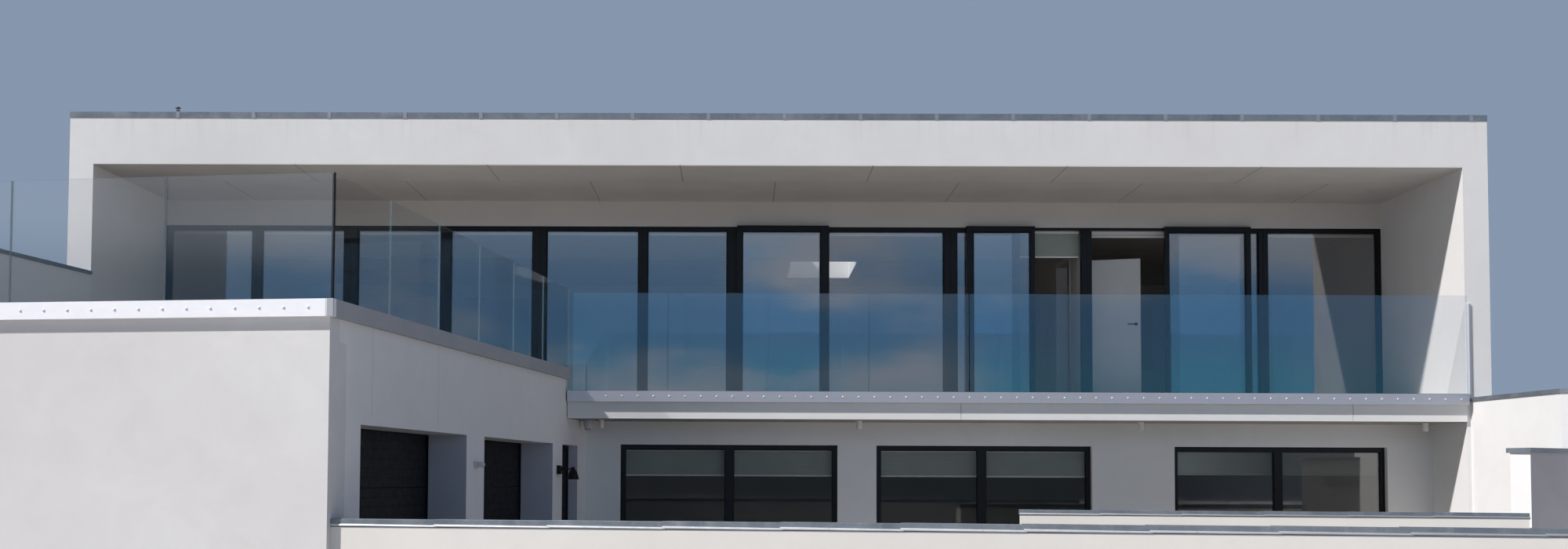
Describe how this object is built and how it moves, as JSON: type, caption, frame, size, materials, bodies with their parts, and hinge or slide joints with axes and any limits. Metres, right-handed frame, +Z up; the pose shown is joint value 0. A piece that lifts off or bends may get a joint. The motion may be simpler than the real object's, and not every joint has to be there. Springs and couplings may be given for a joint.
{
  "type": "detached house with garage wing",
  "caption": "Two-storey flat-roofed house in white render with a glazed upper floor under a deep roof, a glass-railed terrace and a garage wing turned out at the side.",
  "frame": {"origin": "middle of the footprint, courtyard walls included, at ground level", "axes": "+X to the right as seen from in front, +Y from the front to the back, +Z up"},
  "size_m": [20.5002, 19.1482, 6.656],
  "materials": {
    "render": "matte white mineral render",
    "inside_plaster": "matte white plaster",
    "zinc": "folded zinc sheet, dull grey",
    "dark_frame": "powder coated, nearly black",
    "garage_door": "powder coated ribbed sheet, nearly black",
    "silver_aluminium": "satin anodised",
    "grey_fascia": "satin pale grey",
    "glass": "clear double glazing",
    "balustrade_glass": "clear laminated safety glass, green at the edge",
    "concrete": "cast concrete",
    "roof_membrane": "matte roofing sheet",
    "white_paint": "white painted",
    "soffit_board": "matte facing board",
    "paving": "concrete paving",
    "blind_slats": "satin painted slats",
    "floor_boards": "oiled boards",
    "pale_plastic": "pale plastic"
  },
  "bodies": {
    "house": {"back_wall": "render", "back_window_frames": "dark_frame", "balcony_channel": "silver_aluminium", "balcony_downlights": "pale_plastic", "balcony_end_post": "silver_aluminium", "balcony_fascia_boards": "grey_fascia", "balcony_glass": "balustrade_glass", "blinds": "blind_slats", "courtyard_copings": "zinc", "courtyard_walls": "render", "fixed_light_rails": "dark_frame", "garage_doors": "garage_door", "garage_front_wall": "render", "garage_left_wall": "render", "garage_roof_slab": "concrete", "garage_side_lintel": "render", "garage_side_piers": "render", "glazing_head_rail": "dark_frame", "glazing_panes": "glass", "glazing_posts": "dark_frame", "glazing_sill_rail": "dark_frame", "ground_floor_slabs": "concrete", "interior_door": "white_paint", "left_side_wall": "render", "lower_front_wall": "render", "lower_window_frames": "dark_frame", "parapet_coping": "zinc", "partition_wall": "inside_plaster", "retaining_copings": "zinc", "retaining_wall": "render", "right_side_wall": "render", "roof_capping": "zinc", "roof_front_beam": "render", "roof_slab": "roof_membrane", "roof_vent": "zinc", "rooflight_glass": "glass", "rooflight_kerb": "zinc", "side_door_frame": "dark_frame", "side_door_hinges": "silver_aluminium", "sliding_sash_glass": "glass", "sliding_sashes": "dark_frame", "soffit_boards": "soffit_board", "stub_wall": "render", "terrace_channel_front": "silver_aluminium", "terrace_channel_side": "grey_fascia", "terrace_glass": "balustrade_glass", "terrace_kerb_capping": "zinc", "terrace_paving": "paving", "upper_ceiling": "inside_plaster", "upper_floor_boards": "floor_boards", "upper_floor_slab": "concrete", "upper_front_lintel": "render", "wall_lamp": "dark_frame", "wall_sensors": "pale_plastic", "window_glass": "glass"},
    "side_door": {"side_door_leaf": "dark_frame", "side_door_handle": "silver_aluminium", "side_door_hinge_straps": "silver_aluminium"}
  },
  "joints": [
    {"name": "side_door_hinge", "type": "hinge", "parent": "house", "child": "side_door", "pos_m": [-2.98164, -0.1512, 0], "axis": [0, 0, -1], "range_deg": [0, 88]}
  ]
}
